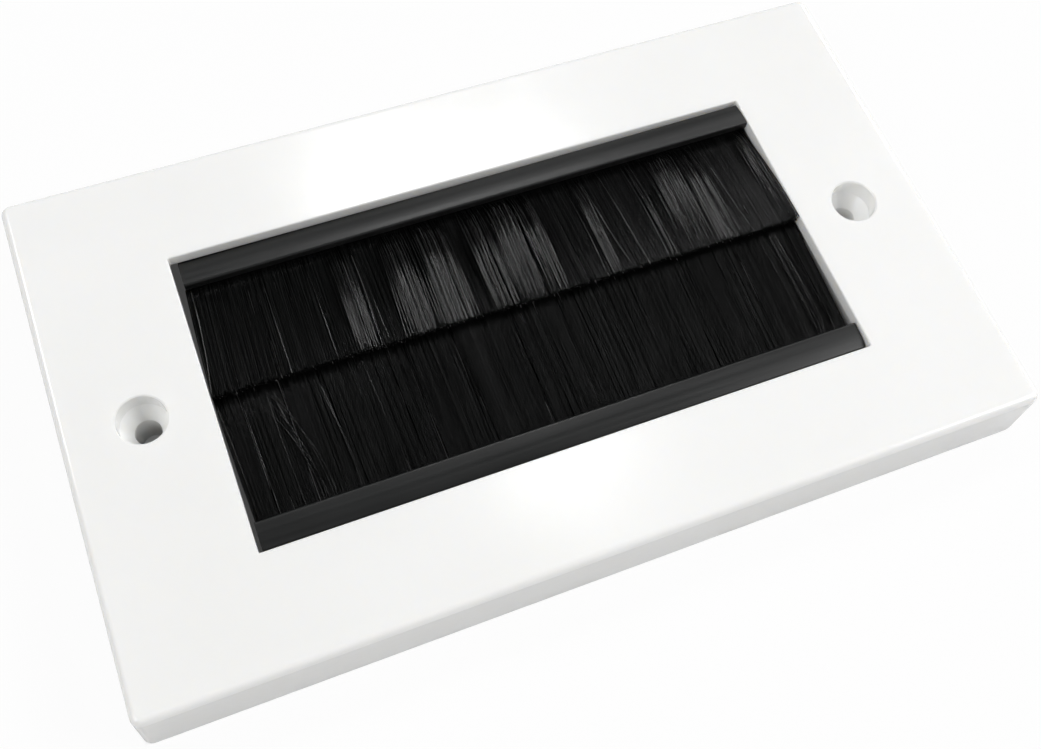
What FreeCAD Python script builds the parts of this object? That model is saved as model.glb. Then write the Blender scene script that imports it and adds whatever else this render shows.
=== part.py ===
# Double-size wall plate whose opening is closed by two strip brushes.
# Millimetres. The plate lies on its back rim: +Z leaves the front face,
# X runs along its length, and the origin is the centre of the back rim.

import FreeCAD
import Part
import math
import os
from collections import namedtuple

V = FreeCAD.Vector

# Faceplate
PLATE_LENGTH = 146.0
PLATE_WIDTH = 86.0
PLATE_DEPTH = 11.5
WALL_DRAFT = 0.76
CORNER_RADIUS = 1.6
FRONT_EDGE_RADIUS = 1.2
FACE_THICKNESS = 2.1
SIDE_WALL = 2.0
INNER_CORNER_RADIUS = 0.8
OPENING_LENGTH = 100.0
OPENING_WIDTH = 50.0
OPENING_CORNER = 0.3
OPENING_EDGE_RADIUS = 0.25

# Screw fixings
FIXING_CENTRES = 120.6
FIXING_HOLE = 4.1
POCKET_DIAMETER = 7.6
POCKET_DEPTH = 3.1
SEAT_DEPTH = 2.2
POCKET_EDGE_BEVEL = 0.2
BOSS_WALL = 1.3

# Stiffening inside the hollow back
RIB_THICKNESS = 1.3
RIB_FOOT = 2.5
RING_SETBACK = 1.2
RING_THICKNESS = 1.5
RING_FOOT = 1.0
RING_CLEARANCE = 0.5
LONG_SIDE_RIBS = 2

# Extruded rail, the same section above and below
RAIL_WEB = 0.8
RAIL_LIP = 0.7
FRONT_FLANGE = 1.6
REAR_FLANGE = 1.4
RAIL_SLOPE = 0.55
RAIL_CROWN = 0.12
NOSE_RADIUS = 0.35
LEG_LENGTH = 5.0
LEG_THICKNESS = 1.5
LEG_CLEARANCE = 0.3

# Heat-formed stakes that hold the rail legs
STAKES_PER_RAIL = 4
STAKE_DIAMETER = 2.0
STAKE_HOLE_CLEARANCE = 0.3
STAKE_HEAD = 3.8
STAKE_HEAD_HEIGHT = 0.8
STAKE_HEAD_CLEARANCE = 0.1

# Strip brush: folded channel, core wire and bristles
CHANNEL_WIDTH = 2.8
CHANNEL_HEIGHT = 2.8
CHANNEL_SHEET = 0.4
CHANNEL_CLEARANCE = 0.1
CHANNEL_END_SETBACK = 0.15
CORE_WIRE = 0.9
CORE_CLEARANCE = 0.06
BUNDLE_CLEARANCE = 0.1
TUFT_PITCH = 1.4
TUFT_RIDGE = 0.5
ROOT_RIDGE = 0.1
TIP_THICKNESS = 1.5
TIP_NOTCH = 0.7
TIP_SCATTER = 0.7
TIP_SIDE_GAP = 0.15
TIP_LEAN = 0.8
BUNDLE_EXIT = 1.0
ARCH_PART = 0.5
ARCH_RISE = 0.7
FEWEST_TUFTS = 4

# Where the upper brush lies. Gaps are to the opening's edges, depths are behind the plate's
# front, the drop is how much deeper the left end is seated, and the tips stop their reach
# above the opening's middle line.
UPPER_WALL_GAP = 0.45
UPPER_LEFT_GAP = 1.15
UPPER_RIGHT_GAP = 0.1
UPPER_FACE_DEPTH = 0.15
UPPER_LEFT_DROP = 1.2
UPPER_TIP_REACH = 0.1
UPPER_TIP_DEPTH = 0.95

# Where the lower brush lies. Its tips pass the middle line, behind the upper brush.
LOWER_WALL_GAP = 0.45
LOWER_LEFT_GAP = 0.55
LOWER_RIGHT_GAP = 0.3
LOWER_FACE_DEPTH = 0.55
LOWER_LEFT_DROP = 0.0
LOWER_TIP_REACH = -1.6
LOWER_TIP_DEPTH = 2.85

# Values that follow from the sizes above
Brush = namedtuple("Brush", "name side wall_gap left_gap right_gap face_depth drop tip_reach tip_depth")
UPPER = Brush(
    "upper",
    1,
    UPPER_WALL_GAP,
    UPPER_LEFT_GAP,
    UPPER_RIGHT_GAP,
    UPPER_FACE_DEPTH,
    UPPER_LEFT_DROP,
    UPPER_TIP_REACH,
    UPPER_TIP_DEPTH,
)
LOWER = Brush(
    "lower",
    -1,
    LOWER_WALL_GAP,
    LOWER_LEFT_GAP,
    LOWER_RIGHT_GAP,
    LOWER_FACE_DEPTH,
    LOWER_LEFT_DROP,
    LOWER_TIP_REACH,
    LOWER_TIP_DEPTH,
)
FACE_UNDERSIDE = PLATE_DEPTH - FACE_THICKNESS
SLOT_WIDTH = CHANNEL_WIDTH + 2 * CHANNEL_CLEARANCE
RAIL_HEIGHT = RAIL_WEB + CHANNEL_HEIGHT + RAIL_LIP
BUNDLE = CHANNEL_WIDTH - 2 * CHANNEL_SHEET - 2 * BUNDLE_CLEARANCE
LEG_DROP = FACE_THICKNESS + LEG_CLEARANCE - UPPER_FACE_DEPTH
GOLDEN = (math.sqrt(5) - 1) / 2

# How far a cutting shape runs past the surface that it cuts, and how closely heights must match
OVERCUT = 1.0
SAME_HEIGHT = 0.01


def closed_profile(steps):
    """Face in the YZ plane from points (y, z), where a pair of points ends an arc."""
    pen = V(0, *steps[0])
    start = pen
    edges = []
    for step in steps[1:]:
        if isinstance(step[0], tuple):
            middle, end = V(0, *step[0]), V(0, *step[1])
            edges.append(Part.Arc(pen, middle, end).toShape())
        else:
            end = V(0, *step)
            edges.append(Part.makeLine(pen, end))
        pen = end
    edges.append(Part.makeLine(pen, start))
    return Part.Face(Part.Wire(edges))


def extruded(profile, x0, x1):
    solid = profile.extrude(V(x1 - x0, 0, 0))
    solid.translate(V(x0, 0, 0))
    return solid


def rounded_rectangle(length, width, radius, z):
    """Closed wire of a rectangle with round corners, centred on the Z axis."""
    x = length / 2
    y = width / 2
    r = radius
    k = r * (1 - math.sqrt(0.5))
    corners = [(x, y, 1, 1), (-x, y, -1, 1), (-x, -y, -1, -1), (x, -y, 1, -1)]
    edges = []
    ends = []
    for cx, cy, sx, sy in corners:
        beside = V(cx, cy - sy * r, z)
        above = V(cx - sx * r, cy, z)
        middle = V(cx - sx * k, cy - sy * k, z)
        first, last = (beside, above) if sx * sy > 0 else (above, beside)
        edges.append(Part.Arc(first, middle, last).toShape())
        ends.append((first, last))
    sides = []
    for i in range(4):
        sides.append(Part.makeLine(ends[i][1], ends[(i + 1) % 4][0]))
    return Part.Wire([edge for pair in zip(edges, sides) for edge in pair])


def inset_at(z):
    """How far the drafted side walls have come in at height z."""
    return WALL_DRAFT * z / PLATE_DEPTH


def drafted_block(wall, radius, height):
    """Block inside the drafted side walls, moved inwards by wall, with round upright edges."""
    x = PLATE_LENGTH / 2 - wall
    y = PLATE_WIDTH / 2 - wall
    inset = inset_at(height)
    solid = Part.makeWedge(-x, 0, -y, -y + inset, -x + inset, x, height, y, y - inset, x - inset)
    solid.rotate(V(0, 0, 0), V(1, 0, 0), 90)
    upright = [e for e in solid.Edges if e.BoundBox.ZLength > height / 2]
    return solid.makeFillet(radius, upright)


def edges_at(shape, z):
    """Edges that lie in the horizontal plane at height z."""
    return [e for e in shape.Edges if abs(e.BoundBox.ZMin - z) + abs(e.BoundBox.ZMax - z) < SAME_HEIGHT]


def block(x0, x1, y0, y1, z0, z1):
    return Part.makeBox(x1 - x0, y1 - y0, z1 - z0, V(x0, y0, z0))


def plate_body():
    """Drafted shell with a rounded front edge and a hollow back."""
    outside = drafted_block(0, CORNER_RADIUS, PLATE_DEPTH)
    outside = outside.makeFillet(FRONT_EDGE_RADIUS, edges_at(outside, PLATE_DEPTH))
    return outside.cut(drafted_block(SIDE_WALL, INNER_CORNER_RADIUS, FACE_UNDERSIDE))


def with_opening(body):
    """Cuts the rectangular opening and rounds its front edge."""
    outline = rounded_rectangle(OPENING_LENGTH, OPENING_WIDTH, OPENING_CORNER, FACE_UNDERSIDE - OVERCUT)
    body = body.cut(Part.Face(outline).extrude(V(0, 0, FACE_THICKNESS + 2 * OVERCUT)))
    half_length = OPENING_LENGTH / 2 + OPENING_CORNER
    half_width = OPENING_WIDTH / 2 + OPENING_CORNER
    rim = []
    for edge in edges_at(body, PLATE_DEPTH):
        middle = edge.BoundBox.Center
        if abs(middle.x) < half_length and abs(middle.y) < half_width:
            rim.append(edge)
    return body.makeFillet(OPENING_EDGE_RADIUS, rim)


def ring_half_sizes():
    """Inner half length and half width of the rib ring round the opening."""
    half_length = OPENING_LENGTH / 2 + RING_SETBACK
    half_width = OPENING_WIDTH / 2 + LEG_LENGTH + RING_CLEARANCE
    return half_length, half_width


def rib_ring():
    half_length, half_width = ring_half_sizes()
    outer_length = half_length + RING_THICKNESS
    outer_width = half_width + RING_THICKNESS
    outer = block(-outer_length, outer_length, -outer_width, outer_width, RING_FOOT, FACE_UNDERSIDE)
    inner = block(-half_length, half_length, -half_width, half_width, RING_FOOT, FACE_UNDERSIDE)
    return outer.cut(inner)


def ribs():
    """Cross ribs from the ring and the bosses to the side walls."""
    half_length, half_width = ring_half_sizes()
    wall_x = PLATE_LENGTH / 2 - SIDE_WALL / 2 - inset_at(FACE_UNDERSIDE)
    wall_y = PLATE_WIDTH / 2 - SIDE_WALL / 2 - inset_at(FACE_UNDERSIDE)
    half_rib = RIB_THICKNESS / 2
    boss_x = FIXING_CENTRES / 2
    solids = []
    for i in range(LONG_SIDE_RIBS):
        x = half_length * (2 * (i + 0.5) / LONG_SIDE_RIBS - 1)
        for side in (-1, 1):
            y0, y1 = sorted((side * (half_width + RING_THICKNESS / 2), side * wall_y))
            solids.append(block(x - half_rib, x + half_rib, y0, y1, RIB_FOOT, FACE_UNDERSIDE))
    for side in (-1, 1):
        x = side * boss_x
        solids.append(block(x - half_rib, x + half_rib, -wall_y, wall_y, RIB_FOOT, FACE_UNDERSIDE))
        x0, x1 = sorted((side * (half_length + RING_THICKNESS / 2), side * wall_x))
        solids.append(block(x0, x1, -half_rib, half_rib, RIB_FOOT, FACE_UNDERSIDE))
    return solids


def fixing_boss(x):
    radius = POCKET_DIAMETER / 2 + BOSS_WALL
    return Part.makeCylinder(radius, FACE_UNDERSIDE, V(x, 0, 0))


def fixing_hole(x):
    """Straight pocket, conical screw seat and clearance hole, cut from the front."""
    r_pocket = POCKET_DIAMETER / 2
    r_hole = FIXING_HOLE / 2
    z_pocket = PLATE_DEPTH - POCKET_DEPTH
    z_seat = z_pocket - SEAT_DEPTH
    edge = POCKET_EDGE_BEVEL
    face = closed_profile(
        [
            (0, -OVERCUT),
            (r_hole, -OVERCUT),
            (r_hole, z_seat),
            (r_pocket, z_pocket),
            (r_pocket, PLATE_DEPTH - edge),
            (r_pocket + edge, PLATE_DEPTH),
            (0, PLATE_DEPTH),
        ]
    )
    hole = face.revolve(V(0, 0, 0), V(0, 0, 1), 360)
    hole.translate(V(x, 0, 0))
    return hole


def rail_span(brush):
    return -OPENING_LENGTH / 2 + brush.left_gap, OPENING_LENGTH / 2 - brush.right_gap


def rail_front(brush):
    """Height of the rail's nose at its right end."""
    return PLATE_DEPTH - brush.face_depth


def rail_outer(brush):
    """Distance from the middle line to the rail's face beside the opening's long edge."""
    return OPENING_WIDTH / 2 - brush.wall_gap


def slot_centre(brush):
    return rail_front(brush) - FRONT_FLANGE - SLOT_WIDTH / 2


def seat_tilt(brush):
    """Placement that sinks the brush's left end, turning it about its right end."""
    x0, x1 = rail_span(brush)
    angle = math.degrees(math.asin(brush.drop / (x1 - x0)))
    turn = FreeCAD.Rotation(V(0, 1, 0), -angle)
    return FreeCAD.Placement(V(0, 0, 0), turn, V(x1, 0, rail_front(brush)))


def seated(shape, brush):
    """Tilts a shape built for the upper side, and mirrors it for the lower side."""
    moved = shape.copy()
    moved.transformShape(seat_tilt(brush).toMatrix())
    if brush.side < 0:
        moved = moved.mirror(V(0, 0, 0), V(0, 1, 0))
    return moved


def stake_places(brush):
    """X places of the stakes, evenly spread over the rail."""
    x0, x1 = rail_span(brush)
    step = (x1 - x0) / STAKES_PER_RAIL
    return [x0 + step * (i + 0.5) for i in range(STAKES_PER_RAIL)]


def leg_middle(brush):
    """Distance from the middle line to the stakes' row."""
    return rail_outer(brush) + LEG_LENGTH / 2


def rail(brush):
    """Extruded holder: front flange that rises to its nose, slot, rear flange and rear leg."""
    x0, x1 = rail_span(brush)
    outer = rail_outer(brush)
    nose = outer - RAIL_HEIGHT
    front = rail_front(brush)
    slot_front = front - FRONT_FLANGE
    slot_rear = slot_front - SLOT_WIDTH
    rear = slot_rear - REAR_FLANGE
    web = channel_floor(brush)
    round_front = NOSE_RADIUS
    k = round_front * (1 - math.sqrt(0.5))
    round_rear = REAR_FLANGE / 2
    leg_front = front - LEG_DROP
    leg_rear = leg_front - LEG_THICKNESS
    leg_end = outer + LEG_LENGTH
    crown_middle = (outer + nose + round_front) / 2
    profile = closed_profile(
        [
            (outer, front - RAIL_SLOPE),
            ((crown_middle, front - RAIL_SLOPE / 2 + RAIL_CROWN), (nose + round_front, front)),
            ((nose + k, front - k), (nose, front - round_front)),
            (nose, slot_front + round_front),
            ((nose + k, slot_front + k), (nose + round_front, slot_front)),
            (web, slot_front),
            (web, slot_rear),
            (nose + round_rear, slot_rear),
            ((nose, rear + round_rear), (nose + round_rear, rear)),
            (outer, rear),
            (outer, leg_rear),
            (leg_end, leg_rear),
            (leg_end, leg_front),
            (outer, leg_front),
        ]
    )
    body = extruded(profile, x0, x1)
    hole = STAKE_DIAMETER / 2 + STAKE_HOLE_CLEARANCE
    length = LEG_THICKNESS + 2 * OVERCUT
    for x in stake_places(brush):
        body = body.cut(Part.makeCylinder(hole, length, V(x, leg_middle(brush), leg_rear - OVERCUT)))
    return seated(body, brush)


def stake(brush, x):
    """Moulded post through the rail's leg with its end melted to a flat head."""
    leg_rear = rail_front(brush) - LEG_DROP - LEG_THICKNESS
    seat = seat_tilt(brush).multVec(V(x, 0, leg_rear)).z - STAKE_HEAD_CLEARANCE
    y = brush.side * leg_middle(brush)
    rim = STAKE_HEAD / 2
    shoulder = STAKE_HEAD_HEIGHT / 2
    profile = closed_profile(
        [
            (0, seat - STAKE_HEAD_HEIGHT),
            (rim - shoulder, seat - STAKE_HEAD_HEIGHT),
            (rim, seat - shoulder),
            (rim, seat),
            (STAKE_DIAMETER / 2, seat),
            (STAKE_DIAMETER / 2, FACE_UNDERSIDE),
            (0, FACE_UNDERSIDE),
        ]
    )
    post = profile.revolve(V(0, 0, 0), V(0, 0, 1), 360)
    post.translate(V(x, y, 0))
    return post


def faceplate():
    bosses = [fixing_boss(side * FIXING_CENTRES / 2) for side in (-1, 1)]
    stakes = [stake(brush, x) for brush in (UPPER, LOWER) for x in stake_places(brush)]
    body = with_opening(plate_body()).fuse([rib_ring()] + ribs() + bosses + stakes)
    for side in (-1, 1):
        body = body.cut(fixing_hole(side * FIXING_CENTRES / 2))
    return body.removeSplitter()


def strip_span(brush):
    """The channel, wire and bristle roots stop a little inside the rail's ends."""
    x0, x1 = rail_span(brush)
    return x0 + CHANNEL_END_SETBACK, x1 - CHANNEL_END_SETBACK


def channel_floor(brush):
    """Distance from the middle line to the channel's back, which lies on the rail's web."""
    return rail_outer(brush) - RAIL_WEB


def channel(brush):
    """Sheet folded to a U that grips the bundle."""
    x0, x1 = strip_span(brush)
    z = slot_centre(brush)
    floor = channel_floor(brush)
    mouth = floor - CHANNEL_HEIGHT
    half = CHANNEL_WIDTH / 2
    bend = CHANNEL_SHEET * 1.5
    k = bend * (1 - math.sqrt(0.5))
    inner = half - CHANNEL_SHEET
    profile = closed_profile(
        [
            (mouth, z + half),
            (floor - bend, z + half),
            ((floor - k, z + half - k), (floor, z + half - bend)),
            (floor, z - half + bend),
            ((floor - k, z - half + k), (floor - bend, z - half)),
            (mouth, z - half),
            (mouth, z - inner),
            (floor - CHANNEL_SHEET, z - inner),
            (floor - CHANNEL_SHEET, z + inner),
            (mouth, z + inner),
        ]
    )
    return seated(extruded(profile, x0, x1), brush)


def wire_distance(brush):
    """Distance from the middle line to the core wire's axis."""
    return channel_floor(brush) - CHANNEL_SHEET - BUNDLE_CLEARANCE - BUNDLE / 2


def core_wire(brush):
    x0, x1 = strip_span(brush)
    centre = V(x0, wire_distance(brush), slot_centre(brush))
    return seated(Part.makeCylinder(CORE_WIRE / 2, x1 - x0, centre, V(1, 0, 0)), brush)


def bristle_fold(brush):
    """The bundle where it is folded round the core wire, up to the channel's mouth."""
    x0, x1 = strip_span(brush)
    z = slot_centre(brush)
    centre = wire_distance(brush)
    half = BUNDLE / 2
    mouth = channel_floor(brush) - CHANNEL_HEIGHT
    profile = closed_profile(
        [
            (mouth, z + half),
            (centre, z + half),
            ((centre + half, z), (centre, z - half)),
            (mouth, z - half),
        ]
    )
    fold = extruded(profile, x0, x1)
    bore = Part.makeCylinder(CORE_WIRE / 2 + CORE_CLEARANCE, x1 - x0, V(x0, centre, z), V(1, 0, 0))
    fold = fold.cut(bore)
    fold.transformShape(seat_tilt(brush).toMatrix())
    return fold


def scatter(index, turn):
    """Even scatter from -0.5 to 0.5 that never repeats along the brush."""
    return math.modf(index * GOLDEN * turn + 0.5)[0] - 0.5


def tuft_rows(brush):
    """Front and back points of each tuft line, from the channel's mouth to the tips."""
    x0, x1 = strip_span(brush)
    z = slot_centre(brush)
    mouth = channel_floor(brush) - CHANNEL_HEIGHT
    nose = rail_outer(brush) - RAIL_HEIGHT
    tip_half = OPENING_LENGTH / 2 - TIP_SIDE_GAP
    tip_z = PLATE_DEPTH - brush.tip_depth
    tilt = seat_tilt(brush)
    lines = 2 * max(int(round((x1 - x0) / TUFT_PITCH)), FEWEST_TUFTS)
    rows = []
    for i in range(lines + 1):
        share = i / lines
        crest = i % 2
        root_x = x0 + (x1 - x0) * share
        edge = math.sin(math.pi * share)
        tip_x = tip_half * (2 * share - 1) + TIP_LEAN * edge * scatter(i, 3)
        tip_y = brush.tip_reach + (1 - crest) * TIP_NOTCH + TIP_SCATTER * (scatter(i, 1) + 0.5)
        row = []
        arch_y = nose + (tip_y - nose) * ARCH_PART
        for part, rise, y in (
            (0, 0, mouth),
            (0, 0, nose - BUNDLE_EXIT),
            (ARCH_PART, ARCH_RISE, arch_y),
            (1, 1, tip_y),
        ):
            ridge = ROOT_RIDGE + (TUFT_RIDGE - ROOT_RIDGE) * part
            half = (BUNDLE + (TIP_THICKNESS - BUNDLE) * part) / 2
            x = root_x + (tip_x - root_x) * part
            root = tilt.multVec(V(x, y, z))
            centre_z = root.z + (tip_z - root.z) * rise
            depth = (1 - crest) * ridge
            row.append((V(root.x, y, centre_z + half - depth), V(root.x, y, centre_z - half + depth)))
        rows.append(row)
    return rows


def triangle(a, b, c):
    return Part.Face(Part.makePolygon([a, b, c, a]))


def quad(a, b, c, d):
    return [triangle(a, b, c), triangle(a, c, d)]


def tufts(brush):
    """Closed ridged curtain between the channel's mouth and the uneven tips."""
    rows = tuft_rows(brush)
    faces = []
    for one, two in zip(rows, rows[1:]):
        for k in range(len(one) - 1):
            faces += quad(one[k][0], two[k][0], two[k + 1][0], one[k + 1][0])
            faces += quad(one[k][1], one[k + 1][1], two[k + 1][1], two[k][1])
        faces += quad(one[-1][0], two[-1][0], two[-1][1], one[-1][1])
    for row in (rows[0], rows[-1]):
        for k in range(len(row) - 1):
            faces += quad(row[k][0], row[k + 1][0], row[k + 1][1], row[k][1])
    root = [row[0][0] for row in rows] + [row[0][1] for row in reversed(rows)]
    faces.append(Part.Face(Part.makePolygon(root + root[:1])))
    solid = Part.Solid(Part.Shell(faces))
    if solid.Volume < 0:
        solid.reverse()
    return solid


def bristles(brush):
    body = tufts(brush).fuse(bristle_fold(brush))
    if brush.side < 0:
        body = body.mirror(V(0, 0, 0), V(0, 1, 0))
    return body


def write(name, shape):
    solids = shape.Solids
    print(name, "solids", len(solids), "valid", shape.isValid(), "volume", round(shape.Volume, 1))
    solids[0].exportStep("parts/" + name + ".step")


os.makedirs("parts", exist_ok=True)
write("faceplate", faceplate())
for each in (UPPER, LOWER):
    write(each.name + "_rail", rail(each))
    write(each.name + "_channel", channel(each))
    write(each.name + "_core_wire", core_wire(each))
    write(each.name + "_bristles", bristles(each))
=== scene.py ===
# %% [markdown]
# # A brush wall plate
#
# The object is a white moulded wall plate with a long opening. Two black extruded rails hold a
# curtain of black nylon bristles each, and the tips of the upper curtain lie over the lower one.
# Cables pass between the bristles, which close again round them.
#
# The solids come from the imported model, which is loaded first. Everything that follows is in
# metres, in that model's own place, so nothing has to be fitted by eye.

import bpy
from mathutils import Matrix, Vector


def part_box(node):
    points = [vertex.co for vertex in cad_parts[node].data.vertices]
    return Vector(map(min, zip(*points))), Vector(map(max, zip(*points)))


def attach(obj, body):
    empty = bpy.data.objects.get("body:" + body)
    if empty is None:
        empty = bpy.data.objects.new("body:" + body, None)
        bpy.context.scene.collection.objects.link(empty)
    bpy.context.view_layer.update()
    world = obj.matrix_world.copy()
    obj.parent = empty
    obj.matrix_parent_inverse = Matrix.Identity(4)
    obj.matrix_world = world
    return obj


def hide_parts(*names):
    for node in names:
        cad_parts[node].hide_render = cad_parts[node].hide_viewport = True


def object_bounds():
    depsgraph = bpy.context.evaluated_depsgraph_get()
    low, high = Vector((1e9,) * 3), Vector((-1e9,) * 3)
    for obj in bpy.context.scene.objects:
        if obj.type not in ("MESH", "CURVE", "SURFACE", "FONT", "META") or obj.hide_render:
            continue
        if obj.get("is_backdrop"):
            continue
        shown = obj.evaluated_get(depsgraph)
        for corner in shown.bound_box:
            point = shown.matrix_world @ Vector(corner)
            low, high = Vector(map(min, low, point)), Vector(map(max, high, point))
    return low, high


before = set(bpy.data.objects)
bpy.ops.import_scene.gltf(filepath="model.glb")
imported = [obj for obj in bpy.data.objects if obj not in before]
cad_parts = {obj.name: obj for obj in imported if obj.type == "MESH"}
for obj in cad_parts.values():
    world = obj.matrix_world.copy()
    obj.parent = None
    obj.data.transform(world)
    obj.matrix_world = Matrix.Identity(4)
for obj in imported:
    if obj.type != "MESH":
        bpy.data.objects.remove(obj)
model_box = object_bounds()
print("solids:", sorted(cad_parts))

# %% Other tools and the unit
import math

import bpy
import numpy as np
from mathutils import Matrix, Vector

MM = 0.001
SEED = 86
rng = np.random.default_rng(SEED)

# %% [markdown]
# ## The camera
#
# A camera is a place, three directions and a focal length. The picture was taken from close by,
# from the front left, looking down at the plate. The directions are written as the rows
# right, down and forward; Blender's camera wants right, up and back, so two of them change sign.
# The focal length is in pixels of a picture 1041 wide, and the small shift frames the plate.

# %% Place the camera
PICTURE = (1041, 749)
FOCAL_PIXELS = 1128.7
CENTRE_PIXELS = (502.38, 392.76)
CAMERA_PLACE = (-44.949, -72.218, 168.297)
RIGHT = Vector((0.929882, -0.358975, 0.080350))
DOWN = Vector((-0.300898, -0.867904, -0.395226))
FORWARD = Vector((0.211612, 0.343337, -0.915063))

lens = bpy.data.cameras.new("camera")
camera = bpy.data.objects.new("camera", lens)
bpy.context.scene.collection.objects.link(camera)
bpy.context.scene.camera = camera
turn = Matrix((RIGHT, -DOWN, -FORWARD)).transposed().to_4x4()
camera.matrix_world = Matrix.Translation(Vector(CAMERA_PLACE) * MM) @ turn
lens.sensor_width = 36
lens.lens = FOCAL_PIXELS / PICTURE[0] * lens.sensor_width
lens.shift_x = (PICTURE[0] / 2 - CENTRE_PIXELS[0]) / PICTURE[0]
lens.shift_y = (CENTRE_PIXELS[1] - PICTURE[1] / 2) / PICTURE[0]
lens.clip_start = 0.01
print("lens", round(lens.lens, 2), "shift", round(lens.shift_x, 4), round(lens.shift_y, 4))

# %% [markdown]
# ## Helpers for finishes
#
# Every finish below is a small tree of nodes that ends in one shader. Helpers keep the recipes
# short: new_finish starts a material, add makes a node, noise lays out a texture, and spread, tint
# and bump turn it into numbers, colours and relief. A value that is the same all over the surface
# is written on the shader itself.
#
# EVEN is the stretch of noise that looks the same in every direction. Most noise lies between
# DARK_GREY and LIGHT_GREY, so these are where a spread or a tint starts and ends.

# %% Helpers that every finish uses
EVEN = (1, 1, 1)
DARK_GREY, LIGHT_GREY = 0.3, 0.7


def new_finish(name, **values):
    """A material with its shader. The values are set on the shader's sockets by name."""
    finish = bpy.data.materials.new(name)
    finish.use_nodes = True
    tree = finish.node_tree
    shader = tree.nodes["Principled BSDF"]
    for key, value in values.items():
        shader.inputs[key.replace("_", " ")].default_value = value
    return finish, tree, shader


def add(tree, kind, **values):
    """A node of this kind. A value is a setting of the node or, failing that, a socket's."""
    made = tree.nodes.new("ShaderNode" + kind)
    for key, value in values.items():
        if key in made.bl_rna.properties:
            setattr(made, key, value)
        else:
            made.inputs[key.replace("_", " ")].default_value = value
    return made


def noise(tree, stretch, scale, detail=2.0):
    """Noise over the object's own place. A large stretch makes it fine along that axis."""
    place = add(tree, "TexCoord")
    mapping = add(tree, "Mapping", Scale=stretch)
    grain = add(tree, "TexNoise", Scale=scale, Detail=detail)
    tree.links.new(place.outputs["Object"], mapping.inputs["Vector"])
    tree.links.new(mapping.outputs["Vector"], grain.inputs["Vector"])
    return grain.outputs["Fac"]


def spread(tree, source, low, high, start=DARK_GREY, end=LIGHT_GREY):
    """Turns a grey value between start and end into a value between low and high."""
    made = add(tree, "MapRange", From_Min=start, From_Max=end, To_Min=low, To_Max=high)
    tree.links.new(source, made.inputs["Value"])
    return made.outputs["Result"]


def tint(tree, source, dark, light):
    """Turns a grey value into a colour between two colours."""
    ramp = add(tree, "ValToRGB")
    ramp.color_ramp.elements[0].position = DARK_GREY
    ramp.color_ramp.elements[1].position = LIGHT_GREY
    ramp.color_ramp.elements[0].color = (*dark, 1)
    ramp.color_ramp.elements[1].color = (*light, 1)
    tree.links.new(source, ramp.inputs["Fac"])
    return ramp.outputs["Color"]


def bump(tree, height, strength, depth_mm, before=None):
    """A small relief. before is the relief that this one is laid on."""
    made = add(tree, "Bump", Strength=strength, Distance=depth_mm * MM)
    tree.links.new(height, made.inputs["Height"])
    if before is not None:
        tree.links.new(before, made.inputs["Normal"])
    return made.outputs["Normal"]


# %% [markdown]
# ## White moulding
#
# The plate is pressed in a polished mould, so its front is white and glossy, with the faint
# waviness called orange peel. Its hidden back comes from a rougher half of the mould. One
# material does both: the direction of the surface says which finish it gets. Light also enters
# white plastic a little way and comes out beside, which the shader's subsurface part gives. It
# keeps the edges and the walls of the screw pockets soft.

# %% Make the white moulding
def white_moulding():
    finish, tree, shader = new_finish(
        "white_moulding", IOR=1.5, Subsurface_Weight=0.5, Subsurface_Scale=1.2 * MM
    )
    shader.inputs["Subsurface Radius"].default_value = (1.0, 0.95, 0.85)
    link = tree.links.new
    cloud = noise(tree, EVEN, 24)
    white = tint(tree, cloud, (0.885, 0.885, 0.872), (0.91, 0.91, 0.9))
    link(white, shader.inputs["Base Color"])
    surface = add(tree, "NewGeometry")
    parts = add(tree, "SeparateXYZ")
    link(surface.outputs["Normal"], parts.inputs["Vector"])
    behind = spread(tree, parts.outputs["Z"], 1.0, 0.0, -0.6, -0.2)
    polish = spread(tree, noise(tree, EVEN, 70), 0.12, 0.2)
    rough = add(tree, "Mix", data_type="FLOAT", B=0.45)
    link(behind, rough.inputs["Factor"])
    link(polish, rough.inputs["A"])
    link(rough.outputs["Result"], shader.inputs["Roughness"])
    peel = bump(tree, noise(tree, EVEN, 380), 0.05, 0.25)
    spark = add(tree, "Math", operation="MULTIPLY")
    link(noise(tree, EVEN, 2600, 3), spark.inputs[0])
    link(behind, spark.inputs[1])
    link(bump(tree, spark.outputs["Value"], 0.25, 0.1, peel), shader.inputs["Normal"])
    return finish


# %% [markdown]
# ## Black rail
#
# The rails are extruded: soft black plastic is pushed through a die and cut to length. Tiny
# scratches in the die draw fine lines along the whole rail, and the surface stays satin. Noise
# that is stretched along the length gives those lines, in the relief and in the gloss.

# %% Make the black rail
def black_rail():
    finish, tree, shader = new_finish("black_rail", IOR=1.55)
    link = tree.links.new
    lines = noise(tree, (14, 1500, 1500), 1.0, 3)
    cloud = noise(tree, (60, 200, 200), 1.0)
    black = tint(tree, cloud, (0.006, 0.0064, 0.0064), (0.01, 0.0105, 0.0105))
    link(black, shader.inputs["Base Color"])
    link(spread(tree, lines, 0.28, 0.38), shader.inputs["Roughness"])
    drawn = bump(tree, lines, 0.12, 0.05)
    link(bump(tree, noise(tree, EVEN, 1900), 0.05, 0.04, drawn), shader.inputs["Normal"])
    return finish


# %% [markdown]
# ## Zinc strip and steel wire
#
# A folded strip of zinc-coated steel grips the bristle roots, and a drawn wire runs through
# their fold. Zinc cools into pale and dark crystals, which a cell pattern gives. Drawing
# leaves lines along a wire, so its noise is stretched like the rail's.

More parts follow.
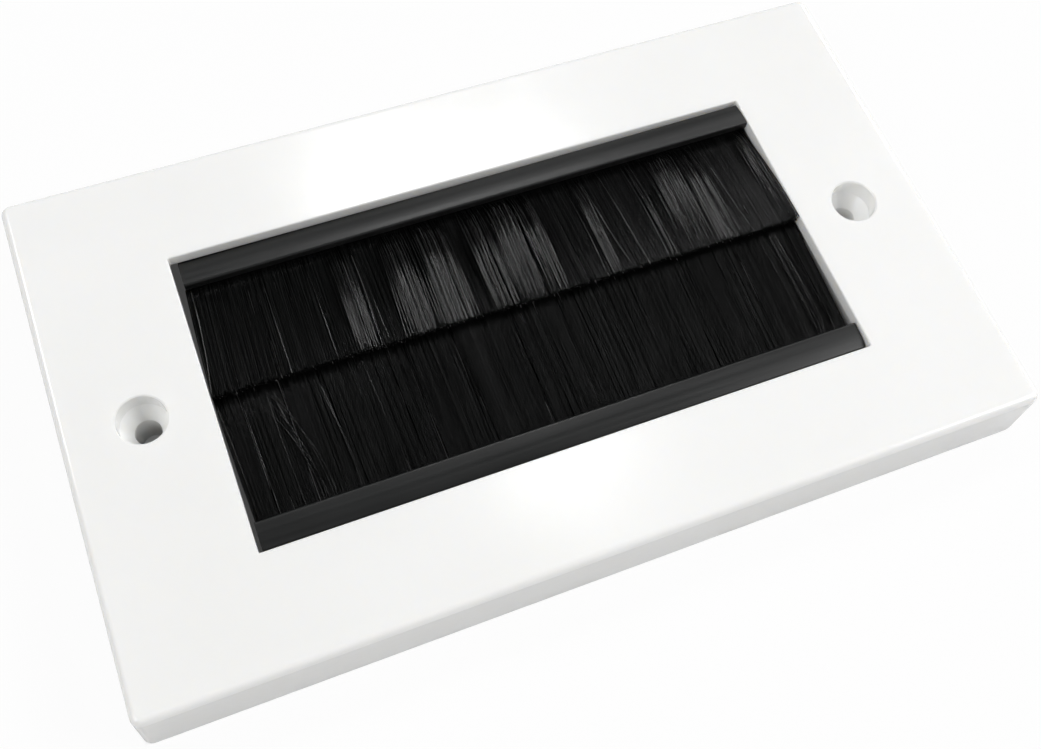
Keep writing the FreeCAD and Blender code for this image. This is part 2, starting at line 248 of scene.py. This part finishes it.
# %% Make the zinc strip and the steel wire
def zinc_strip():
    finish, tree, shader = new_finish("zinc_strip", Metallic=1.0)
    link = tree.links.new
    place = add(tree, "TexCoord")
    crystals = add(tree, "TexVoronoi", Scale=420.0)
    link(place.outputs["Object"], crystals.inputs["Vector"])
    grey = add(tree, "RGBToBW")
    link(crystals.outputs["Color"], grey.inputs["Color"])
    zinc = tint(tree, grey.outputs["Val"], (0.5, 0.51, 0.52), (0.68, 0.69, 0.7))
    link(zinc, shader.inputs["Base Color"])
    link(spread(tree, grey.outputs["Val"], 0.28, 0.46), shader.inputs["Roughness"])
    link(bump(tree, noise(tree, EVEN, 2200), 0.12, 0.03), shader.inputs["Normal"])
    return finish


def steel_wire():
    finish, tree, shader = new_finish("steel_wire", Metallic=1.0)
    link = tree.links.new
    lines = noise(tree, (20, 5000, 5000), 1.0, 3)
    link(tint(tree, lines, (0.42, 0.42, 0.43), (0.58, 0.58, 0.59)), shader.inputs["Base Color"])
    link(spread(tree, lines, 0.22, 0.4), shader.inputs["Roughness"])
    link(bump(tree, lines, 0.15, 0.02), shader.inputs["Normal"])
    return finish


# %% Put these finishes on the solids
FINISHES = {
    "white_moulding": white_moulding(),
    "black_rail": black_rail(),
    "zinc_strip": zinc_strip(),
    "steel_wire": steel_wire(),
}
WORN_BY = {
    "faceplate": "white_moulding",
    "upper_rail": "black_rail",
    "lower_rail": "black_rail",
    "upper_channel": "zinc_strip",
    "lower_channel": "zinc_strip",
    "upper_core_wire": "steel_wire",
    "lower_core_wire": "steel_wire",
}
for node, finish in WORN_BY.items():
    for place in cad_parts[node].material_slots:
        place.material = FINISHES[finish]
    print(node, "wears", finish)

# %% [markdown]
# ## Bristles
#
# A bristle curtain is thousands of nylon filaments, each folded round the core wire so that both
# its halves hang out of the channel. One tall block with a hairy texture would look flat, so every
# filament is made as its own thin tube. It starts at one tip, runs back into the channel, goes
# round the wire and comes out again to its other tip.
#
# Real filaments stick together in tufts, and they splay a little past the ends of the rail. Most
# of them slope up to their tips and look black. Here and there a tuft lifts off early and then
# lies flat: it mirrors a lamp behind the plate, and each of its filaments shows as a bright line.
# A few single filaments lie across the others and shine alone.
#
# The values below are in mm and degrees. FOLDS is the number of filaments in a curtain. IN_SIGHT
# and BENEATH are the places of a filament's points, from 0 where it leaves the channel to 1 at
# its tip. The half that faces the wall can't be seen and needs fewer. Both end with two points
# close together, so that the flat cap on the end doesn't shade the tube.
#
# A name that ends in RANGE holds the least and the most of an even spread. One that ends in
# CHANGE or SHIFT holds the width of a spread round its middle, where most filaments are.

# %% Values of every filament
FILAMENT = 0.17
THICKNESS_RANGE = (0.85, 1.1)
FOLDS = 2420
ALONG_WIRE_RANGE = (0.001, 0.999)
TUFT = 1.3
MOST_TUFTS = 200
IN_SIGHT = (0.0, 0.12, 0.26, 0.42, 0.6, 0.75, 0.88, 0.997, 1.0)
BENEATH = (0.0, 0.45, 0.997, 1.0)
TURN_RANGE = (0.58, 0.88)
EXIT = 1.7
EXIT_RISE = 0.05

# %% How tips and slopes vary
TUFT_PULL = 0.05
TUFT_SHIFT = 0.1
TIP_SHIFT = 0.14
STRAY_SHARE = 0.06
STRAY_SHIFT = 1.0
TUFT_SHORTER = 0.25
TIP_SHORTER = 0.3
BOW_CHANGE = 0.1
STRAIGHT, EASED = 0.85, 0.15
HIDDEN_RISE = 0.55
SLOPE_CHANGE = 1.1
USUAL_START, USUAL_STOP = 0.3, 1.1
START_RANGE = (0.08, 0.85)
START_CHANGE = 0.1
SIDE_DELAY = 0.25
STOP_CHANGE = 0.1
DIP = 0.07
FLAT_RISE_RANGE = (0.7, 1.1)
CORNER_LIFT = 0.75
CORNER_REACH = 0.85
CORNER_START, CORNER_LENGTH = 46.0, 3.5

# %% [markdown]
# The next values place what shines. A flat tuft has the x of its middle, half its width, the share
# of its filaments that lie flat, and where along a filament that begins and stops. A lone filament
# has the x of its tip, the x of its root and where it begins to lie flat.

# %% Tufts and single filaments that shine
UPPER_TUFTS = (
    (-23.6, 2.0, 0.35, 0.55, 1.1),
    (-15.0, 2.0, 0.53, 0.46, 1.1),
    (-9.5, 2.6, 0.53, 0.36, 1.1),
    (-1.6, 1.8, 0.53, 0.38, 1.0),
    (3.6, 3.4, 0.53, 0.3, 0.8),
    (8.0, 0.9, 0.5, 0.4, 1.0),
    (17.0, 1.3, 0.3, 0.35, 1.1),
    (27.0, 0.8, 0.2, 0.6, 1.1),
    (32.0, 2.4, 0.5, 0.24, 0.75),
    (36.6, 1.8, 0.53, 0.42, 1.1),
    (47.2, 0.8, 0.2, 0.1, 0.6),
)
UPPER_LONE = (
    (-49.7, -48.6, 0.1),
    (-37.5, -37.2, 0.7),
    (-30.2, -30.0, 0.6),
    (-26.8, -26.4, 0.5),
    (19.6, 18.2, 0.5),
    (22.4, 21.4, 0.6),
    (41.5, 39.8, 0.4),
)
LOWER_TUFTS = (
    (-42.5, 2.6, 0.02, 0.2, 0.8),
    (44.5, 2.0, 0.03, 0.2, 1.1),
)
LOWER_LONE = (
    (-49.8, -48.9, 0.35),
    (-45.5, -38.0, 0.25),
    (-44.9, -38.8, 0.4),
    (-43.5, -38.4, 0.5),
    (-42.9, -36.8, 0.3),
    (-41.6, -39.2, 0.55),
    (-41.9, -37.2, 0.4),
    (-34.8, -33.0, 0.45),
    (-34.3, -32.6, 0.6),
    (-26.9, -26.0, 0.45),
    (12.7, 13.4, 0.85),
    (42.5, 42.6, 0.3),
    (43.0, 44.7, 0.1),
    (44.8, 45.4, 0.35),
    (45.0, 45.3, 0.4),
    (45.3, 47.4, 0.3),
)

# %% [markdown]
# The upper brush hangs down from its rail and the lower one stands up, so they differ in side: 1
# is the upper one. sunk_left says that a brush lies deeper at its left end. ends are the places
# that the outermost tips reach along the brush. A flat filament lies at the slope shine, which
# turns its gleam to the camera.

# %% Values of each curtain
CURTAINS = {
    "upper": dict(
        side=1,
        sunk_left=True,
        tip_y=0.15,
        tip_z=10.45,
        tip_rise=0.72,
        ends=(-49.8, 49.85),
        shine=1.6,
        flat=UPPER_TUFTS,
        lone=UPPER_LONE,
    ),
    "lower": dict(
        side=-1,
        sunk_left=False,
        tip_y=1.2,
        tip_z=8.6,
        tip_rise=0.74,
        ends=(-49.8, 49.8),
        shine=-1.6,
        flat=LOWER_TUFTS,
        lone=LOWER_LONE,
    ),
}


# %% Where one curtain's wire lies
def wire_line(which, sunk_left):
    """Its two ends, in mm. The wire is straight, and its box gives them."""
    low, high = (np.array(corner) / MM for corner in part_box(which + "_core_wire"))
    radius = (high[1] - low[1]) / 2
    ends = low + radius, high - radius
    if not sunk_left:
        ends[0][2] = ends[1][2] = (low[2] + high[2]) / 2
    return ends


for which, make in CURTAINS.items():
    ends = wire_line(which, make["sunk_left"])
    print(which, "wire", [end.round(2).tolist() for end in ends])

# %% [markdown]
# The tips come first, because everything else runs to them. The filaments of one tuft share a
# small shift, so that the curtain falls into locks with dark gaps between them, and a few
# strays lie apart from their tuft.

# %% Where the tips lie
def tuft_values(x, low, high):
    """One random value per tuft, for the filaments at x."""
    values = rng.uniform(low, high, MOST_TUFTS)
    return values[(np.floor(x / TUFT) + MOST_TUFTS / 2).astype(int)]


def tip_places(x, make):
    """Where each filament's tip lies along and across the brush."""
    left, right = make["ends"]
    count = len(x)
    share = (x - x.min()) / (x.max() - x.min())
    middle = (np.floor(x / TUFT) + 0.5) * TUFT
    tip_x = left + (right - left) * share + TUFT_PULL * (middle - x)
    tip_x = tip_x + rng.normal(0, TIP_SHIFT, count) + tuft_values(x, -TUFT_SHIFT, TUFT_SHIFT)
    stray = rng.random(count) < STRAY_SHARE
    tip_x = tip_x + stray * rng.normal(0, STRAY_SHIFT, count)
    shorter = tuft_values(x, -TUFT_SHORTER, TUFT_SHORTER) + rng.normal(0, TIP_SHORTER, count)
    return np.clip(tip_x, left, right), make["tip_y"] + make["side"] * np.abs(shorter)


# %% Which filaments lie flat
def hill(x, middle, width, height):
    """A smooth hill with a flat top along the brush."""
    return height * np.exp(-(((x - middle) / width) ** 4))


def lying_flat(x, make):
    """Which filaments lie flat, and between which parts of their length."""
    count = len(x)
    chance = np.zeros(count)
    start, stop = np.full(count, USUAL_START), np.full(count, USUAL_STOP)
    for middle, width, height, begin, end in make["flat"]:
        here = hill(x, middle, width, height)
        delay = SIDE_DELAY * ((x - middle) / width) ** 2
        start = np.where(here > chance, begin + delay, start)
        stop = np.where(here > chance, end, stop)
        chance = np.maximum(chance, here)
    chosen = rng.random(count) < chance
    start = np.clip(start + rng.normal(0, START_CHANGE, count), *START_RANGE)
    return chosen, start, stop + rng.normal(0, STOP_CHANGE, count)


def lay_the_lone(x, make, tip_x, flat, start, slope):
    """Makes the filament nearest to each listed root a lone one, and tells which they are."""
    crosses = np.zeros(len(x), bool)
    for tip_at, root_at, begin in make["lone"]:
        nearest = int(np.argmin(np.abs(x - root_at)))
        tip_x[nearest], flat[nearest], start[nearest] = tip_at, True, begin
        slope[nearest], crosses[nearest] = math.tan(math.radians(make["shine"])), True
    return crosses


# %% [markdown]
# One half of a filament is a leg. It starts beside the wire, leaves the channel at exit_y and
# then follows one of two heights: sloping up to its tip all the way, or rising early and lying
# flat from start on. Half of its splay is there at the channel, and the rest grows to the
# tip, but a lone filament runs straight first and crosses the others near its tip. At the right
# end of the upper brush the filaments press on the opening's wall, which lifts the middle of
# their length.

# %% One half of each filament
def heights(u, root_z, tip_z, free, slope, flat, start, stop):
    """Height of each filament at the part u of its free length."""
    sloping = root_z + (tip_z - root_z) * (STRAIGHT * u + EASED * (1 - (1 - u) ** 2))
    plateau = tip_z - (1 - u) * free * slope
    early = np.clip(u / start, 0, 1)
    start_z = tip_z - (1 - start) * free * slope
    rising = root_z + (start_z - root_z) * (1 - (1 - early) ** 2)
    lying = np.where(u < start, rising, plateau) - DIP * free * np.clip(u - stop, 0, 1)
    return np.where(flat, lying, sloping)


def leg(x, wire, turn_radius, up, make):
    """Points of one half of each filament, from the wire to the tip, and which ones shine.

    up is 1 for the half in front of the wire and -1 for the half behind it.
    """
    side, count = make["side"], len(x)
    tip_x, tip_y = tip_places(x, make)
    flat, start, stop = lying_flat(x, make)
    slope = np.tan(np.radians(make["shine"] + rng.normal(0, SLOPE_CHANGE, count)))
    root_z = wire[:, 2] + up * turn_radius
    rise = make["tip_rise"] * (1.0 if up > 0 else HIDDEN_RISE)
    tip_z = make["tip_z"] + up * rise * rng.uniform(0.0, 1.0, count) ** 0.5
    crosses = np.zeros(count, bool)
    if up > 0:
        crosses = lay_the_lone(x, make, tip_x, flat, start, slope)
        high = make["tip_z"] + make["tip_rise"] * rng.uniform(*FLAT_RISE_RANGE, count)
        tip_z = np.where(flat, high, tip_z)
    else:
        flat[:] = False
    exit_y = wire[:, 1] - side * EXIT
    bow = rng.normal(0, BOW_CHANGE, count)
    free = np.abs(tip_y - exit_y)
    in_corner = np.clip((x - CORNER_START) / CORNER_LENGTH, 0, 1)
    lift = CORNER_LIFT * in_corner * (up > 0) * (side > 0)
    points = [np.stack([x, wire[:, 1], root_z - up * EXIT_RISE * EXIT], axis=1)]
    for u in IN_SIGHT if up > 0 else BENEATH:
        z = heights(u, root_z, tip_z, free, slope, flat, start, stop)
        z = z + lift * math.sin(math.pi * CORNER_REACH * u)
        splay = np.where(crosses, u * u, 0.5 + 0.5 * u)
        along_x = x + (tip_x - x) * splay + bow * math.sin(math.pi * u)
        y = exit_y + (tip_y - exit_y) * u
        points.append(np.stack([along_x, y, z], axis=1))
    return np.stack(points, axis=1), flat


# %% [markdown]
# A whole filament is its front leg backwards, a point behind the wire, and its hidden leg.

# %% The path of every filament
def filament_paths(which, make):
    """Points of every filament of a curtain, tip to tip, in mm, and which ones shine."""
    start, end = wire_line(which, make["sunk_left"])
    share = np.sort(rng.uniform(*ALONG_WIRE_RANGE, FOLDS))
    wire = start + (end - start) * share[:, None]
    x = wire[:, 0]
    turn_radius = rng.uniform(*TURN_RANGE, FOLDS)
    upper, shines = leg(x, wire, turn_radius, 1, make)
    lower = leg(x, wire, turn_radius, -1, make)[0]
    back = wire + np.array([0, make["side"], 0]) * turn_radius[:, None]
    return np.concatenate([upper[:, ::-1], back[:, None], lower], axis=1), shines


# %% [markdown]
# A tube with three sides is enough for something this thin: with smooth shading its normals turn
# as a round tube's do. Each point of the path gets a small triangle across it, and neighbouring
# triangles are joined. The end caps come first in the list of faces and stay flat. Each
# filament also stores two values for its finish: a tone of its own, and whether it lies flat.

# %% Tubes along the paths
def store(mesh, name, values, points):
    """Keeps one value per filament on all its corners."""
    kept = mesh.attributes.new(name, "FLOAT", "POINT")
    kept.data.foreach_set("value", np.repeat(values, points * 3))


def tubes(name, paths, shines):
    """One piece made of a tube along each path."""
    count, points = paths.shape[:2]
    ahead = np.gradient(paths, axis=1)
    ahead /= np.linalg.norm(ahead, axis=2, keepdims=True)
    first = np.cross(ahead, np.cross(np.array([1.0, 0, 0]), ahead))
    first /= np.linalg.norm(first, axis=2, keepdims=True)
    second = np.cross(ahead, first)
    angles = np.radians([90, 210, 330])
    rings = np.stack([first * math.cos(a) + second * math.sin(a) for a in angles], axis=2)
    thick = FILAMENT / 2 * rng.uniform(*THICKNESS_RANGE, count)[:, None, None, None]
    corners = (paths[:, :, None] + rings * thick).reshape(-1, 3) * MM
    index = np.arange(count * points * 3).reshape(count, points, 3)
    ring, onward = index[:, :-1], index[:, 1:]
    sides = np.stack([ring, np.roll(ring, -1, 2), np.roll(onward, -1, 2), onward], axis=-1)
    caps = np.concatenate([index[:, 0, ::-1], index[:, -1]])
    mesh = bpy.data.meshes.new(name)
    mesh.from_pydata(corners.tolist(), [], caps.tolist() + sides.reshape(-1, 4).tolist())
    smooth = np.arange(len(mesh.polygons)) >= len(caps)
    mesh.polygons.foreach_set("use_smooth", smooth)
    store(mesh, "tone", rng.random(count), points)
    store(mesh, "gloss", shines.astype(float), points)
    made = bpy.data.objects.new(name, mesh)
    bpy.context.scene.collection.objects.link(made)
    return made


# %% [markdown]
# ## Black nylon
#
# Nylon filament is dyed through and drawn smooth, so it is deep black with a narrow gloss. No two
# filaments are quite the same: the stored tone shifts colour and roughness. The strong gloss is
# kept for the flat filaments, because the others shade one another in the real, denser curtain.

# %% Make the nylon
def black_nylon():
    finish, tree, shader = new_finish("black_bristle", IOR=1.53)
    link = tree.links.new
    tone = add(tree, "Attribute", attribute_name="tone").outputs["Fac"]
    gloss = add(tree, "Attribute", attribute_name="gloss").outputs["Fac"]
    black = tint(tree, tone, (0.002, 0.0021, 0.0021), (0.005, 0.0053, 0.0052))
    link(black, shader.inputs["Base Color"])
    link(spread(tree, tone, 0.15, 0.22, 0.0, 1.0), shader.inputs["Roughness"])
    link(spread(tree, gloss, 0.2, 0.6, 0.0, 1.0), shader.inputs["Specular IOR Level"])
    link(bump(tree, noise(tree, (3000, 90, 3000), 1.0), 0.1, 0.01), shader.inputs["Normal"])
    return finish


# %% Hang both curtains
nylon = black_nylon()
for which, make in CURTAINS.items():
    curtain = tubes(which + "_bristle_filaments", *filament_paths(which, make))
    curtain.data.materials.append(nylon)
    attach(curtain, "root")
    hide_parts(which + "_bristles")
    size = [round(side / MM, 1) for side in curtain.dimensions]
    print(curtain.name, "size", size, "mm,", len(curtain.data.polygons), "faces")

# %% [markdown]
# ## Floor
#
# The plate lies on a wide pale sheet that curves up all round, as in a small studio. The sheet
# is turned from a profile, which lists its radius and height in metres.

# %% Turn the floor from its profile
PROFILE = ((0.3, 0.0), (0.9, 0.0), (1.8, 0.0), (2.3, 0.04), (2.7, 0.2), (2.95, 0.55), (3.0, 1.2))
STEPS = 96


def floor_sheet():
    corners = [
        (r * math.cos(2 * math.pi * k / STEPS), r * math.sin(2 * math.pi * k / STEPS), z)
        for r, z in PROFILE
        for k in range(STEPS)
    ]
    corners.append((0.0, 0.0, 0.0))
    onward = [(k + 1) % STEPS for k in range(STEPS)]
    faces = [(len(corners) - 1, k, onward[k]) for k in range(STEPS)]
    for low in range(0, STEPS * (len(PROFILE) - 1), STEPS):
        high = low + STEPS
        faces += [(low + k, high + k, high + onward[k], low + onward[k]) for k in range(STEPS)]
    mesh = bpy.data.meshes.new("floor")
    mesh.from_pydata(corners, [], faces)
    mesh.shade_smooth()
    return bpy.data.objects.new("floor", mesh)


floor = floor_sheet()
bpy.context.scene.collection.objects.link(floor)
floor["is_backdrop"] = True

# %% [markdown]
# The photo's background is white, so towards the camera the sheet glows by itself for the most
# part. The rest of its tone is the light that falls on it, and that part keeps the plate's soft
# shadow. The glow is for the camera alone: the sheet's plain pale colour is what lights the plate
# and what the plate mirrors. Beneath the plate, seen through the screw holes, the glow fades out,
# because little light comes there.

# %% The floor's pale finish
GLOW_AROUND = 0.94
GLOW_BENEATH = 0.05
FADE = 2 * MM


def glow_share(tree):
    """GLOW_AROUND outside the plate's outline and GLOW_BENEATH within it."""
    place = add(tree, "TexCoord")
    parts = add(tree, "SeparateXYZ")
    tree.links.new(place.outputs["Object"], parts.inputs["Vector"])
    under = []
    for axis, half in (("X", model_box[1].x), ("Y", model_box[1].y)):
        far = add(tree, "Math", operation="ABSOLUTE")
        tree.links.new(parts.outputs[axis], far.inputs[0])
        away = far.outputs["Value"]
        under.append(spread(tree, away, GLOW_BENEATH, GLOW_AROUND, half - FADE, half))
    either = add(tree, "Math", operation="MAXIMUM")
    tree.links.new(under[0], either.inputs[0])
    tree.links.new(under[1], either.inputs[1])
    return either.outputs["Value"]


def pale_floor():
    finish = bpy.data.materials.new("pale_floor")
    finish.use_nodes = True
    tree = finish.node_tree
    tree.nodes.clear()
    link = tree.links.new
    out = add(tree, "OutputMaterial")
    plain = add(tree, "BsdfDiffuse")
    pale = tint(tree, noise(tree, EVEN, 3), (0.74, 0.74, 0.74), (0.77, 0.77, 0.77))
    link(pale, plain.inputs["Color"])
    white = add(tree, "Emission", Strength=1.0)
    mixed = add(tree, "MixShader")
    path = add(tree, "LightPath")
    share = add(tree, "Math", operation="MULTIPLY")
    link(path.outputs["Is Camera Ray"], share.inputs[0])
    link(glow_share(tree), share.inputs[1])
    link(share.outputs["Value"], mixed.inputs["Fac"])
    link(plain.outputs["BSDF"], mixed.inputs[1])
    link(white.outputs["Emission"], mixed.inputs[2])
    link(mixed.outputs["Shader"], out.inputs["Surface"])
    return finish


floor.data.materials.append(pale_floor())
print("floor", [round(side, 2) for side in floor.dimensions], "m")

# %% [markdown]
# ## Light
#
# Six lamps and a dim grey sky light the plate. Each lamp is placed by the law of mirrors, from
# what has to gleam and what has to stay black.
#
# - key_box gives most of the light. It hangs low at the right, where no bristle mirrors it.
# - left_box lights the left and front walls from the other side.
# - back_box, left_strip and right_strip hang behind, where the glossy face and the flat tufts
#   mirror them towards the camera.
# - rail_box is small, and gives the gleam in the middle of the rails.
#
# A row of LAMPS has a lamp's name, its place, width and height in metres, and its radiance.

# %% Hang the lamps
def soft_box(name, place, width, height, radiance):
    """An area lamp that faces the plate. radiance is how bright it looks: 1 is white."""
    lamp = bpy.data.lights.new(name, "AREA")
    lamp.shape = "RECTANGLE"
    lamp.size = width
    lamp.size_y = height
    lamp.energy = radiance * math.pi * width * height
    made = bpy.data.objects.new(name, lamp)
    made.location = place
    made.rotation_mode = "QUATERNION"
    made.rotation_quaternion = (-Vector(place)).to_track_quat("-Z", "Y")
    bpy.context.scene.collection.objects.link(made)
    print(name, "gives", round(lamp.energy, 2), "W")


LAMPS = (
    ("key_box", (0.83, -0.29, 0.73), 0.5, 0.5, 9.4),
    ("left_box", (-1.1, -0.25, 1.0), 0.8, 0.8, 4.4),
    ("back_box", (0.38, 0.92, 1.5), 0.4, 0.16, 16.0),
    ("right_strip", (1.9, 1.3, 1.5), 0.6, 0.19, 42.0),
    ("left_strip", (-0.9, 0.95, 1.5), 0.5, 0.16, 24.0),
    ("rail_box", (0.39, 0.4, 1.5), 0.2, 0.2, 4.5),
)
for lamp in LAMPS:
    soft_box(*lamp)

# %% Hang the sky
SKY_STRENGTH = 0.13

sky = bpy.data.worlds.new("sky")
sky.use_nodes = True
background = sky.node_tree.nodes["Background"]
background.inputs["Color"].default_value = (1, 1, 1, 1)
background.inputs["Strength"].default_value = SKY_STRENGTH
bpy.context.scene.world = sky
bpy.context.scene.view_settings.view_transform = "Standard"

# %% [markdown]
# ## Sizes, and the end
#
# The dressed plate must stay in the box of the solids; the last line prints how far it steps out.

# %% Print how far the plate steps out of the box
shown_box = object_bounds()
steps = (*(model_box[0] - shown_box[0]), *(shown_box[1] - model_box[1]))
print("largest step out of the box:", round(max(steps) / MM, 3), "mm")
